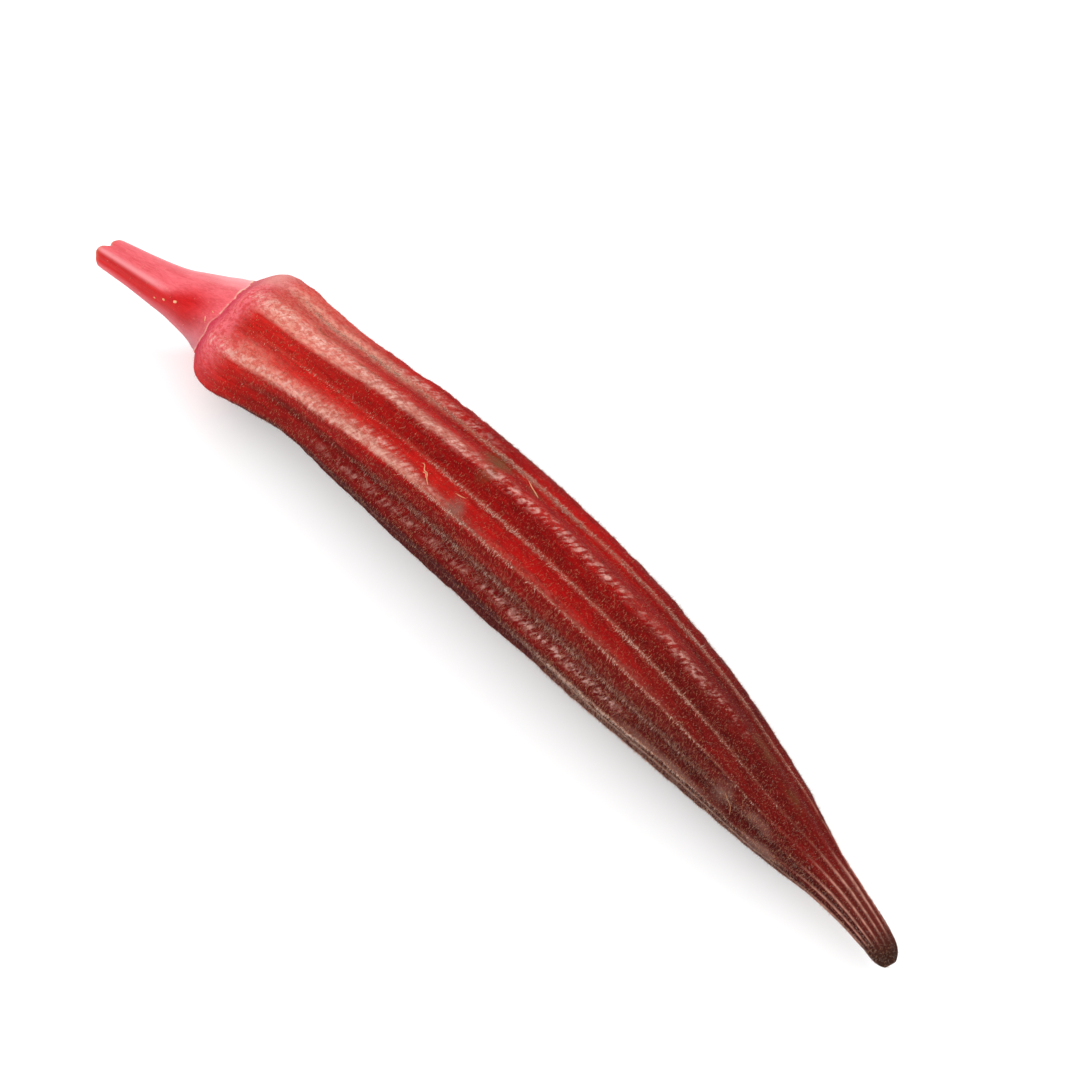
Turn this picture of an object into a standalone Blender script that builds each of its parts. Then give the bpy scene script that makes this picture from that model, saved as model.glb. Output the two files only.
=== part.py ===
"""One ribbed okra pod, as picked: cut stalk, flared cap, ribbed seed pod and blunt tip, grown as one piece.

The pod lies on its side. X runs from the stalk to the tip, Z is up, and the origin is the middle of the
pod's underside. It is turned as a smooth blank, ribbed along its length, then bent along its centreline.
"""

import math

import bpy
import numpy as np

MM = 0.001

# Driving dimensions.
LENGTH = 160 * MM  # along the centreline, cut end to tip
NOSE_LENGTH = 3.5 * MM  # the rounded end of the tip
SIDES = 64  # facets round the pod
RING_SPACING = 3.6 * MM  # between rings, where the outline is calm
REST_FLAT = 0.25 * MM  # how far its own weight flattens the two ribs that it lies on
CAP_LEAN = 1.6 * MM  # how far the cap's edge leans out of square
CAP_LEAN_SIDE = math.radians(-15)  # the side that leans towards the tip
CAP_LEAN_REACH = 6 * MM  # how far along the pod that lean fades out
SHOULDER_LEAN = 1.7 * MM  # how far the shoulder leans out of square, just past the cap's edge
SHOULDER_LEAN_SIDE = math.radians(74)
SHOULDER_LEAN_REACH = 4.5 * MM
NOSE_RINGS = 4  # rings on the rounded end
MERGE_DISTANCE = 0.01 * MM  # for the turned blank's seam and poles

# Distance from the cut end, radius over the ribs, and depth of the grooves between them, in mm.
OUTLINE = np.array([
    (0.0, 2.20, 0.10),
    (0.4, 2.60, 0.10),
    (6.5, 3.20, 0.12),
    (12.0, 3.95, 0.16),
    (15.0, 4.75, 0.20),
    (18.0, 5.70, 0.25),
    (19.6, 6.40, 0.30),
    (21.0, 6.95, 0.30),
    (21.7, 7.70, 0.45),
    (23.1, 9.50, 0.80),
    (25.0, 10.60, 1.15),
    (28.0, 11.05, 1.40),
    (33.5, 10.50, 1.55),
    (39.0, 9.90, 1.60),
    (45.0, 10.05, 1.60),
    (55.0, 10.75, 1.65),
    (68.0, 11.05, 1.70),
    (80.0, 11.10, 1.70),
    (92.0, 10.75, 1.60),
    (102.0, 10.25, 1.45),
    (112.0, 9.35, 1.25),
    (122.0, 8.00, 1.00),
    (132.0, 6.40, 0.75),
    (140.0, 4.80, 0.50),
    (145.0, 3.60, 0.35),
    (150.0, 2.88, 0.28),
    (156.5, 2.20, 0.20),
]) * MM

CAP_EDGE = OUTLINE[7, 0]  # where the smooth cap ends and the ribbed pod swells out
SHOULDER = OUTLINE[9, 0]

# Distance from the cut end in mm, then the crest of each rib there, in degrees from the top of the pod towards
# +Y. The ribs spread over the shoulder and run straight from there on.
RIB_CRESTS = np.array([
    (0, -159, -128, -94, -40, 4, 69, 112, 158),
    (30, -159, -126, -92, -39, 5, 69, 112, 158),
    (45, -159, -121, -84, -35, 9, 69, 112, 158),
    (60, -159, -118, -76, -30, 13, 70, 112, 158),
    (80, -159, -116, -73, -27.5, 16, 70, 112, 158),
    (105, -159, -116, -72, -26, 17, 70, 112, 158),
    (130, -159, -116, -71, -25, 18, 70, 112, 158),
    (160, -159, -116, -71, -25, 18, 70, 112, 158),
])
RIB_ROUNDING = 0.08  # 0 is a knife edge

# The centreline before it is centred: along, sideways and up, in mm.
CENTRELINE = np.array([
    (0, -0.8, 11.5),
    (12, 1.7, 10.9),
    (25, 5.0, 10.3),
    (40, 6.7, 10.1),
    (65, 7.5, 10.2),
    (90, 7.5, 10.15),
    (115, 6.3, 8.95),
    (135, 4.15, 7.2),
    (150, 2.35, 5.75),
    (156, 0.6, 5.05),
]) * MM


def smooth_curve(knots, samples_per_span=24):
    """Points on the Catmull-Rom spline through the knots."""
    padded = np.vstack([2 * knots[0] - knots[1], knots, 2 * knots[-1] - knots[-2]])
    t = np.linspace(0, 1, samples_per_span, endpoint=False)[:, None]
    spans = []
    for a, b, c, d in zip(padded, padded[1:], padded[2:], padded[3:]):
        spans.append(0.5 * (2 * b + (c - a) * t + (2 * a - 5 * b + 4 * c - d) * t**2
                            + (3 * b - a - 3 * c + d) * t**3))
    return np.vstack([*spans, knots[-1:]])


def outline_at(along):
    """Radius over the ribs and depth of the grooves at these distances from the cut end."""
    curve = smooth_curve(OUTLINE)
    radius = np.interp(along, curve[:, 0], curve[:, 1])
    depth = np.interp(along, curve[:, 0], curve[:, 2])
    nose = np.clip((along - (LENGTH - NOSE_LENGTH)) / NOSE_LENGTH, 0, 1)
    rounding = np.sqrt(1 - nose**2)
    return radius * rounding, depth * rounding


def groove_share(along, angle):
    """How deep in a groove each place lies: 0 on a rib's crest, 1 halfway between two crests."""
    curve = smooth_curve(RIB_CRESTS)
    crests = [np.radians(np.interp(along, curve[:, 0] * MM, column)) for column in curve[:, 1:].T]
    crests = [crests[-1] - 2 * np.pi, *crests, crests[0] + 2 * np.pi]
    turn = sum(np.clip((angle - low) / (high - low), 0, 1) for low, high in zip(crests, crests[1:]))
    wave = np.arccos((1 - RIB_ROUNDING) * np.cos(2 * np.pi * turn))
    edge = math.acos(1 - RIB_ROUNDING)
    return (wave - edge) / (math.pi - 2 * edge)


def turned_blank():
    """A smooth turned pod standing on Z, its cut end at the top, as mesh data."""
    nose_start = LENGTH - NOSE_LENGTH
    stations = [0.0, *OUTLINE[1:-1, 0]]
    along = [0.0]
    for start, end in zip(stations, [*stations[1:], nose_start]):
        steps = max(1, round((end - start) / RING_SPACING))
        along += list(start + (end - start) * np.arange(1, steps + 1) / steps)
    quarter = np.linspace(0, math.pi / 2, NOSE_RINGS + 2)[1:-1]
    along += list(nose_start + NOSE_LENGTH * np.sin(quarter))
    radius, _ = outline_at(np.array(along))
    points = [(0, 0, LENGTH)]
    points += [(r, 0, LENGTH - u) for r, u in zip(radius, along)]
    points.append((0, 0, 0))
    profile = bpy.data.meshes.new("profile")
    profile.from_pydata(points, [(i, i + 1) for i in range(len(points) - 1)], [])
    blank = bpy.data.objects.new("blank", profile)
    bpy.context.scene.collection.objects.link(blank)
    turning = blank.modifiers.new("turning", "SCREW")
    turning.steps = turning.render_steps = SIDES
    turning.use_merge_vertices = True
    turning.merge_threshold = MERGE_DISTANCE
    graph = bpy.context.evaluated_depsgraph_get()
    mesh = bpy.data.meshes.new_from_object(blank.evaluated_get(graph))
    bpy.data.objects.remove(blank)
    return mesh


def swell(distance, reach):
    return np.exp(-(distance / reach) ** 2)


def cap_lean(along, angle):
    """How far the cap's edge and the shoulder lean along the pod, out of square."""
    edge = CAP_LEAN * np.cos(angle - CAP_LEAN_SIDE) * swell(along - CAP_EDGE, CAP_LEAN_REACH)
    shoulder = SHOULDER_LEAN * np.cos(angle - SHOULDER_LEAN_SIDE) * swell(along - SHOULDER, SHOULDER_LEAN_REACH)
    return edge + shoulder


def ribbed(points):
    """The turned blank's points as (distance along, angle round, radius), with the ribs carved in."""
    along = LENGTH - points[:, 2]
    angle = np.arctan2(points[:, 1], points[:, 0])
    outer, depth = outline_at(along)
    radius = np.hypot(points[:, 0], points[:, 1])
    share = groove_share(along, angle)
    cut = np.where(outer > 0, radius / np.maximum(outer, 1e-9), 0)
    return along + cap_lean(along, angle), angle, radius - depth * share * cut


def bent(along, angle, radius):
    """Places sections square to the centreline. Angle 0 is up, and 90 degrees is towards +Y."""
    line = smooth_curve(CENTRELINE)
    steps = np.linalg.norm(np.diff(line, axis=0), axis=1)
    distance = np.concatenate([[0], np.cumsum(steps)])
    distance *= LENGTH / distance[-1]
    heading = np.gradient(line, distance, axis=0)
    centre, ahead = (
        np.column_stack([np.interp(along, distance, column) for column in values.T])
        for values in (line, heading)
    )
    ahead /= np.linalg.norm(ahead, axis=1)[:, None]
    side = np.cross((0.0, 0.0, 1.0), ahead)
    side /= np.linalg.norm(side, axis=1)[:, None]
    up = np.cross(ahead, side)
    return centre + radius[:, None] * (np.cos(angle)[:, None] * up + np.sin(angle)[:, None] * side)


def skin_material():
    material = bpy.data.materials.new("okra_skin")
    material.use_nodes = True
    shader = material.node_tree.nodes["Principled BSDF"]
    shader.inputs["Base Color"].default_value = (0.30, 0.012, 0.014, 1)
    shader.inputs["Roughness"].default_value = 0.5
    shader.inputs["Metallic"].default_value = 0
    return material


def okra_pod():
    mesh = turned_blank()
    mesh.name = "okra_pod"
    points = np.empty(len(mesh.vertices) * 3, np.float32)
    mesh.vertices.foreach_get("co", points)
    points = bent(*ribbed(points.reshape(-1, 3).astype(float)))
    floor = points[:, 2].min() + REST_FLAT
    points[:, 2] = np.maximum(points[:, 2], floor)
    mesh.vertices.foreach_set("co", points.astype(np.float32).ravel())
    mesh.shade_smooth()
    mesh.set_sharp_from_angle(angle=math.radians(40))
    mesh.materials.clear()
    mesh.materials.append(skin_material())
    pod = bpy.data.objects.new("okra_pod", mesh)
    middle = (points.min(axis=0) + points.max(axis=0)) / 2
    pod.location = (-middle[0], -middle[1], -floor)
    return pod


def main():
    for obj in list(bpy.data.objects):
        bpy.data.objects.remove(obj)
    collection = bpy.data.collections.new("okra_pod")
    bpy.context.scene.collection.children.link(collection)
    collection.objects.link(okra_pod())


main()
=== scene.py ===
"""The finished look of one ribbed red okra pod: cut stalk, smooth cap, downy ribbed pod and dark tip.

The skin is one closed mesh, grown along the same centreline and outline as the solid model, with its fine
lines, wrinkles and scars carried by the surface itself. The down on it is real hairs. Lengths are in metres.
"""

import math

import bpy
import numpy as np
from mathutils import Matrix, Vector


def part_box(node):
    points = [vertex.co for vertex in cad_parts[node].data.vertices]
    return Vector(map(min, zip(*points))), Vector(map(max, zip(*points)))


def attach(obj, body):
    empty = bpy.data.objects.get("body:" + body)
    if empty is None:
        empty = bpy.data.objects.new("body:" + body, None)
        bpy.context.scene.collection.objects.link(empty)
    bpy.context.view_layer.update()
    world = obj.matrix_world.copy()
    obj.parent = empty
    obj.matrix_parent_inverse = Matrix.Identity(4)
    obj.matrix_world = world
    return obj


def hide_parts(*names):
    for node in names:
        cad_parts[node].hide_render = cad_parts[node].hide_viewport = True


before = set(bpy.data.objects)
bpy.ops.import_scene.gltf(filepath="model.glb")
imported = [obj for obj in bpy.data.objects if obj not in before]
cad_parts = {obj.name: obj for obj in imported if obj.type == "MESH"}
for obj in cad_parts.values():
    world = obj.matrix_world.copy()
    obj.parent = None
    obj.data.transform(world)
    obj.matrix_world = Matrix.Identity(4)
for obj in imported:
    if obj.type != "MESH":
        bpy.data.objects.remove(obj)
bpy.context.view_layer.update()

MM = 0.001

# ------------ the pod's shape, as in the solid model

LENGTH = 160 * MM  # along the centreline, cut end to tip
NOSE_LENGTH = 3.5 * MM  # the rounded end of the tip
REST_FLAT = 0.25 * MM  # how far its own weight flattens the ribs that it lies on
CAP_LEAN = 1.6 * MM  # how far the cap's edge leans out of square
CAP_LEAN_SIDE = math.radians(-15)
CAP_LEAN_REACH = 6 * MM
SHOULDER_LEAN = 1.7 * MM  # how far the shoulder leans out of square
SHOULDER_LEAN_SIDE = math.radians(74)
SHOULDER_LEAN_REACH = 4.5 * MM

# Distance from the cut end, radius over the ribs, and depth of the grooves between them, in mm.
OUTLINE = np.array([
    (0.0, 2.20, 0.10),
    (0.4, 2.60, 0.10),
    (6.5, 3.20, 0.12),
    (12.0, 3.95, 0.16),
    (15.0, 4.75, 0.20),
    (18.0, 5.70, 0.25),
    (19.6, 6.40, 0.30),
    (21.0, 6.95, 0.30),
    (21.7, 7.70, 0.45),
    (23.1, 9.50, 0.80),
    (25.0, 10.60, 1.15),
    (28.0, 11.05, 1.40),
    (33.5, 10.50, 1.55),
    (39.0, 9.90, 1.60),
    (45.0, 10.05, 1.60),
    (55.0, 10.75, 1.65),
    (68.0, 11.05, 1.70),
    (80.0, 11.10, 1.70),
    (92.0, 10.75, 1.60),
    (102.0, 10.25, 1.45),
    (112.0, 9.35, 1.25),
    (122.0, 8.00, 1.00),
    (132.0, 6.40, 0.75),
    (140.0, 4.80, 0.50),
    (145.0, 3.60, 0.35),
    (150.0, 2.88, 0.28),
    (156.5, 2.20, 0.20),
]) * MM

CAP_EDGE = OUTLINE[7, 0]
SHOULDER = OUTLINE[9, 0]

# Distance from the cut end in mm, then the crest of each rib there, in degrees from the top towards +Y.
RIB_CRESTS = np.array([
    (0, -159, -128, -94, -40, 4, 69, 112, 158),
    (30, -159, -126, -92, -39, 5, 69, 112, 158),
    (45, -159, -121, -84, -35, 9, 69, 112, 158),
    (60, -159, -118, -76, -30, 13, 70, 112, 158),
    (80, -159, -116, -73, -27.5, 16, 70, 112, 158),
    (105, -159, -116, -72, -26, 17, 70, 112, 158),
    (130, -159, -116, -71, -25, 18, 70, 112, 158),
    (160, -159, -116, -71, -25, 18, 70, 112, 158),
])
RIB_COUNT = RIB_CRESTS.shape[1] - 1
RIB_ROUNDING = 0.08

# The centreline before it is centred: along, sideways and up, in mm.
CENTRELINE = np.array([
    (0, -0.8, 11.5),
    (12, 1.7, 10.9),
    (25, 5.0, 10.3),
    (40, 6.7, 10.1),
    (65, 7.5, 10.2),
    (90, 7.5, 10.15),
    (115, 6.3, 8.95),
    (135, 4.15, 7.2),
    (150, 2.35, 5.75),
    (156, 0.6, 5.05),
]) * MM


def smooth_curve(knots, samples_per_span=24):
    """Points on the Catmull-Rom spline through the knots."""
    padded = np.vstack([2 * knots[0] - knots[1], knots, 2 * knots[-1] - knots[-2]])
    t = np.linspace(0, 1, samples_per_span, endpoint=False)[:, None]
    spans = []
    for a, b, c, d in zip(padded, padded[1:], padded[2:], padded[3:]):
        spans.append(0.5 * (2 * b + (c - a) * t + (2 * a - 5 * b + 4 * c - d) * t**2
                            + (3 * b - a - 3 * c + d) * t**3))
    return np.vstack([*spans, knots[-1:]])


OUTLINE_CURVE = smooth_curve(OUTLINE)


def unit(vectors):
    return vectors / np.linalg.norm(vectors, axis=1)[:, None]


def outline_at(along):
    """Radius over the ribs and depth of the grooves at these distances from the cut end."""
    radius = np.interp(along, OUTLINE_CURVE[:, 0], OUTLINE_CURVE[:, 1])
    depth = np.interp(along, OUTLINE_CURVE[:, 0], OUTLINE_CURVE[:, 2])
    nose = np.clip((along - (LENGTH - NOSE_LENGTH)) / NOSE_LENGTH, 0, 1)
    rounding = np.sqrt(1 - nose**2)
    return radius * rounding, depth * rounding


def groove_share(turn):
    """How deep in a groove each turn lies: 0 on a rib's crest, at whole turns, and 1 halfway between."""
    wave = np.arccos((1 - RIB_ROUNDING) * np.cos(2 * np.pi * turn))
    edge = math.acos(1 - RIB_ROUNDING)
    return (wave - edge) / (math.pi - 2 * edge)


RIB_CURVE = smooth_curve(RIB_CRESTS)


def rib_angle(along, turn):
    """The angle round the pod at this count of ribs, from 0 to RIB_COUNT for a full circle."""
    circles = np.floor(turn / RIB_COUNT)
    rib = np.floor(turn).astype(int) % RIB_COUNT
    part = turn - np.floor(turn)
    crests = [np.radians(np.interp(along, RIB_CURVE[:, 0] * MM, column)) for column in RIB_CURVE[:, 1:].T]
    crests = np.stack([*crests, crests[0] + 2 * np.pi], axis=1)
    row = np.arange(len(turn))
    return crests[row, rib] * (1 - part) + crests[row, rib + 1] * part + circles * 2 * np.pi


def centreline_frames():
    """Distances along the centreline, with its points, headings, side and up directions there."""
    line = smooth_curve(CENTRELINE)
    steps = np.linalg.norm(np.diff(line, axis=0), axis=1)
    distance = np.concatenate([[0], np.cumsum(steps)])
    distance *= LENGTH / distance[-1]
    return distance, line, np.gradient(line, distance, axis=0)


DISTANCE, LINE, HEADING = centreline_frames()


def bent(along, angle, radius):
    """Places sections square to the centreline. Angle 0 is up, and 90 degrees is towards +Y."""
    inside = np.clip(along, 0, LENGTH)
    centre, ahead = (
        np.column_stack([np.interp(inside, DISTANCE, column) for column in values.T])
        for values in (LINE, HEADING)
    )
    ahead = unit(ahead)
    side = unit(np.cross((0.0, 0.0, 1.0), ahead))
    up = np.cross(ahead, side)
    centre = centre + (along - inside)[:, None] * ahead
    return centre + radius[:, None] * (np.cos(angle)[:, None] * up + np.sin(angle)[:, None] * side)


# ------------ fine form of the skin

LATTICE = np.random.default_rng(7).uniform(-1, 1, (48, 48, 48))


def lumps(points, size, seed=0):
    """Smooth random values from -1 to 1, with lumps of about this size: one size, or one per axis."""
    at = points / np.asarray(size) + 17.3 * (seed + 1)
    low = np.floor(at).astype(int)
    part = at - low
    part = part * part * (3 - 2 * part)
    total = np.zeros(len(points))
    for corner in range(8):
        step = np.array([corner >> 2 & 1, corner >> 1 & 1, corner & 1])
        weight = np.prod(np.where(step, part, 1 - part), axis=1)
        cell = (low + step) % len(LATTICE)
        total += weight * LATTICE[cell[:, 0], cell[:, 1], cell[:, 2]]
    return total


def bell(distance, width):
    return np.exp(-(distance / width) ** 2)


def ramp(value, start, end):
    """0 before start, 1 after end, and smooth between."""
    t = np.clip((value - start) / (end - start), 0, 1)
    return t * t * (3 - 2 * t)


def past(along, start, end):
    """0 before start and 1 after end, both in mm from the cut end."""
    return ramp(along, start * MM, end * MM)


def near(along, place, reach):
    """1 at this place and fading within this reach, both in mm from the cut end."""
    return bell(along - place * MM, reach * MM)


def until(along, start, end):
    """1 before start and 0 after end, both in mm from the cut end."""
    return 1 - past(along, start, end)


# The cut through the stalk: it slants, and a notch splits its rim.
CUT_SLANT = 1.4 * MM
CUT_SLANT_SIDE = math.radians(129)
CUT_REACH = 6 * MM
NOTCH_ANGLE = math.radians(8)
NOTCH_WIDTH = math.radians(15)
NOTCH_DEPTH = 0.7 * MM

# The stalk's own blunt edges, which fade before the cap.
STALK_EDGES = 5
STALK_EDGE_ANGLE = math.radians(-27)
STALK_EDGE_HEIGHT = 0.13 * MM

SEAM_WAVE = 0.16 * MM
SEAM_LIP = 0.10 * MM
SEAM_CREASE = 0.12 * MM

# Heights and depths of the skin's smaller forms.
SEED_SWELL = 0.16 * MM  # the seeds inside push the skin out
WRINKLE = 0.09 * MM
LENGTHWISE_WRINKLE = 0.05 * MM
PIMPLE = 0.018 * MM
CORNER_DENT = 0.35 * MM
CLEFT = 0.2 * MM
STALK_FIBRE = 0.035 * MM
STALK_PIMPLE = 0.01 * MM
RIM_ROUNDING = 0.35 * MM

# The crests are worn to narrow bands.
CREST_FLAT = 0.24 * MM
CREST_FLAT_WIDTH = 0.09  # share of a rib's turn

# Raised lines, from rib 0 round: how strong the line is along each crest, and along the groove after it.
CREST_LINES = (0.6, 0.6, 1.0, 0.5, 0.0, 0.3, 0.6, 0.6)
CREST_LINE_STARTS = np.array((55, 55, 94, 55, 55, 55, 55, 55)) * MM
GROOVE_LINES = (0.7, 0.6, 0.3, 0.6, 1.0, 0.8, 0.7, 0.7)
GROOVE_LINE_STARTS = np.array((30, 30, 62, 66, 30, 30, 30, 30)) * MM
GROOVE_LINE_HEIGHT = 0.20 * MM
GROOVE_LINE_WIDTH = 0.038
CREST_LINE_HEIGHT = 0.14 * MM
CREST_LINE_WIDTH = 0.028
NECK_LINE_HEIGHT = 0.17 * MM
NECK_LINE_WIDTH = 0.066
NECK_TWIST = 0.33  # how far the lines turn before the neck, in ribs
GROOVE_4_LINE_OFF = 0.10  # this line keeps to the upper side of its groove
GROOVE_4_LINE_DRIFT = 0.07  # and further up towards the tip
CREST_2_LINE_OFF = 0.07  # this one runs just above its crest


def from_angle(angle, middle):
    """Smallest signed angle from middle."""
    return (angle - middle + np.pi) % (2 * np.pi) - np.pi


def from_crest(turn):
    """Distance from the nearest crest, in turns."""
    return np.abs(turn - np.round(turn))


def slip(along, angle):
    """How far the surface shifts along the pod: the cut's slant and notch, and the leaning, wavy cap edge."""
    near_cut = 1 - ramp(along, 0, CUT_REACH)
    slant = CUT_SLANT * np.cos(angle - CUT_SLANT_SIDE)
    notch = NOTCH_DEPTH * bell(from_angle(angle, NOTCH_ANGLE), NOTCH_WIDTH)
    notch_fade = until(along, 0, 2.2)
    edge = CAP_LEAN * np.cos(angle - CAP_LEAN_SIDE) * bell(along - CAP_EDGE, CAP_LEAN_REACH)
    shoulder = SHOULDER_LEAN * np.cos(angle - SHOULDER_LEAN_SIDE)
    shoulder *= bell(along - SHOULDER, SHOULDER_LEAN_REACH)
    waves = np.sin(3 * angle + 0.6) + 0.6 * np.sin(7 * angle + 2.2) + 0.5 * np.sin(13 * angle)
    seam = SEAM_WAVE * waves * bell(along - CAP_EDGE, 1.6 * MM)
    return slant * near_cut + notch * notch_fade + edge + shoulder + seam


def neck_share(along):
    """0 on the ribbed body and 1 on the narrow neck before the tip."""
    return past(along, 139, 148)


def line_strength(along, turn):
    """How strongly the raised line along a groove or crest stands out at each place, from 0 to 1."""
    off = GROOVE_4_LINE_OFF + GROOVE_4_LINE_DRIFT * past(along, 80, 100)
    turn = turn - off * bell(turn - 4.6, 0.22)
    turn = turn - CREST_2_LINE_OFF * bell(turn - 2.05, 0.25) * past(along, 104, 114)
    turn = turn - NECK_TWIST * past(along, 130, 148) + 0.12 * past(along, 148, 156)
    away = from_crest(turn)
    neck = neck_share(along)
    end = until(along, 154, 158.5)
    nearest_crest = np.round(turn).astype(int) % RIB_COUNT
    groove_before = np.floor(turn).astype(int) % RIB_COUNT
    groove = np.array(GROOVE_LINES)[groove_before] * past(along, 24, 33)
    groove *= 0.3 + 0.7 * ramp(along - GROOVE_LINE_STARTS[groove_before], -12 * MM, 12 * MM)
    crest = np.array(CREST_LINES)[nearest_crest]
    crest = crest * ramp(along - CREST_LINE_STARTS[nearest_crest], -12 * MM, 12 * MM)
    faded = 1 - 0.5 * past(along, 118, 130) * ramp(turn, 4.4, 4.2)
    groove = groove * faded + (1 - groove * faded) * neck
    crest = crest * faded + (1 - crest * faded) * neck
    groove_width = GROOVE_LINE_WIDTH + (NECK_LINE_WIDTH - GROOVE_LINE_WIDTH) * neck
    crest_width = CREST_LINE_WIDTH + (NECK_LINE_WIDTH - CREST_LINE_WIDTH) * neck
    return np.maximum(groove * bell(0.5 - away, groove_width), crest * bell(away, crest_width)) * end


def fine_form(along, turn, angle, straight):
    """What the skin adds to the plain ribbed radius."""
    away = from_crest(turn)
    crested = bell(away, 0.15)
    body = past(along, 26, 34)
    neck = neck_share(along)
    end = until(along, 153, 158)
    uneven = 0.8 + 0.5 * lumps(straight, (3 * MM, 2 * MM, 2 * MM), 1)

    on_groove = away > 0.25
    height = np.where(on_groove, GROOVE_LINE_HEIGHT, CREST_LINE_HEIGHT)
    height = height * (1 - neck) + NECK_LINE_HEIGHT * neck
    height = height * (0.4 + 0.6 * past(along, 44, 70))
    lines = height * line_strength(along, turn) * uneven
    worn = -CREST_FLAT * bell(away, CREST_FLAT_WIDTH) * body * (1 - neck)

    seeds = SEED_SWELL * lumps(straight, (7 * MM, 5 * MM, 5 * MM), 2) * body * (1 - neck)
    slanted = np.column_stack([straight[:, 0] + 5 * MM * away, straight[:, 1], straight[:, 2]])
    across = WRINKLE * lumps(slanted, (0.7 * MM, 2.2 * MM, 2.2 * MM), 3)
    across += WRINKLE * lumps(slanted, (1.6 * MM, 3.2 * MM, 3.2 * MM), 9)
    lengthwise = LENGTHWISE_WRINKLE * lumps(straight, (5 * MM, 0.8 * MM, 0.8 * MM), 4)
    wrinkles = across * (0.15 + crested) + lengthwise * (0.5 + 0.8 * crested)
    wrinkles += PIMPLE * lumps(straight, 0.5 * MM, 10)
    wrinkles *= past(along, 22, 30) * end * (1 - 0.55 * neck)

    lip = SEAM_LIP * bell(along - CAP_EDGE, 0.15 * MM) * (0.7 + 0.9 * lumps(straight, 1.3 * MM, 11))
    crease = -SEAM_CREASE * bell(along - CAP_EDGE - 0.4 * MM, 0.2 * MM)
    edges = STALK_EDGE_HEIGHT * np.cos(STALK_EDGES * (angle - STALK_EDGE_ANGLE)) * until(along, 9, 19)
    corner = -CORNER_DENT * near(along, 27.4, 2.4) * bell(turn - 5.0, 0.45)
    cleft = -CLEFT * bell(from_angle(angle, NOTCH_ANGLE), NOTCH_WIDTH) * until(along, 0, 5)
    stalk = STALK_FIBRE * lumps(straight, (6 * MM, 1.1 * MM, 1.1 * MM), 5)
    stalk += STALK_PIMPLE * lumps(straight, 0.6 * MM, 12)
    stalk *= until(along, 18, 22)
    rim = -RIM_ROUNDING * until(along, 0, 0.9) ** 2
    return lines + worn + seeds + wrinkles + lip + crease + edges + corner + cleft + stalk + rim


def plain_skin(along, turn):
    """The ribbed form of the solid model, before it is centred."""
    angle = rib_angle(along, turn)
    radius, depth = outline_at(along)
    return bent(along + slip(along, angle), angle, radius - depth * groove_share(turn))


def centring_shift():
    """Moves the plain form to where the solid model lies."""
    along, turn = np.meshgrid(np.linspace(0, LENGTH * 0.9999, 400), np.linspace(0, RIB_COUNT, 192, False))
    points = plain_skin(along.ravel(), turn.ravel())
    low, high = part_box("okra_pod")
    shift = (np.array(low) + np.array(high) - points.min(axis=0) - points.max(axis=0)) / 2
    shift[2] = -points[:, 2].min() - REST_FLAT
    return shift


SHIFT = centring_shift()


def rested(points):
    """Lets the underside settle on the surface that it lies on."""
    z = points[:, 2]
    settled = 0.5 * (z + np.sqrt(z**2 + (0.06 * MM) ** 2))
    return np.column_stack([points[:, :2], np.where(z < 2 * MM, settled, z)])


def skin(along, turn, lift=0.0):
    """Points on the finished skin, with its position in the straight, unbent pod."""
    angle = rib_angle(along, turn)
    radius, depth = outline_at(along)
    plain = radius - depth * groove_share(turn)
    straight = np.column_stack([along, plain * np.cos(angle), plain * np.sin(angle)])
    nose = np.clip(radius / (1.5 * MM), 0, 1)
    full = plain + fine_form(along, turn, angle, straight) * nose + lift
    placed = bent(along + slip(along, angle), angle, full) + SHIFT
    return rested(placed), straight


# ------------ the skin's mesh

COLUMNS_PER_RIB = 30
COLUMN_CROWDING = 0.55  # towards crests and grooves
COLUMNS = COLUMNS_PER_RIB * RIB_COUNT
CUT_RINGS = 12
CUT_SHARES = 1 - (np.arange(1, CUT_RINGS) / CUT_RINGS) ** 0.9  # how far out each ring of the cut lies
CUT_MIDDLE_DEPTH = 0.4 * MM
CUT_FIBRE = 0.05 * MM
BARK_STEP = 0.22 * MM  # from the rim down to the wood
PITH_STEP = 0.25 * MM  # from the wood down to the pith
RING_SPACING = 0.42 * MM
RING_CROWDING = (  # how much closer the rings lie, round this place, within this reach
    (0.26 * MM, 0, 1.2 * MM),
    (0.34 * MM, CAP_EDGE + 0.2 * MM, 0.9 * MM),
    (0.18 * MM, LENGTH, 5 * MM),
)
TIP_POINT = 0.02 * MM  # how far the last point stands past the last ring
STALK_SLOT, POD_SLOT, CUT_SLOT = 0, 1, 2  # the skin's materials, in the order in which main() adds them


def tube_faces(rings, sides):
    """Quads round a tube, then a fan of triangles to a point at each end. The points follow the rings."""
    first = np.arange(rings - 1)[:, None] * sides
    here = np.arange(sides)
    after = (here + 1) % sides
    quads = np.stack([first + here, first + after, first + sides + after, first + sides + here], axis=2)
    last = (rings - 1) * sides
    start = np.column_stack([after, here, np.full(sides, rings * sides)])
    end = np.column_stack([last + here, last + after, np.full(sides, rings * sides + 1)])
    return [*quads.reshape(-1, 4).tolist(), *start.tolist(), *end.tolist()]


def column_turns():
    """Columns round the pod, crowded at every crest and groove."""
    half = COLUMNS_PER_RIB // 2
    even = np.arange(half) / half
    crowded = even - COLUMN_CROWDING * np.sin(2 * np.pi * even) / (2 * np.pi)
    starts = np.arange(2 * RIB_COUNT)[:, None]
    return ((starts + crowded) / 2).ravel()


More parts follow.
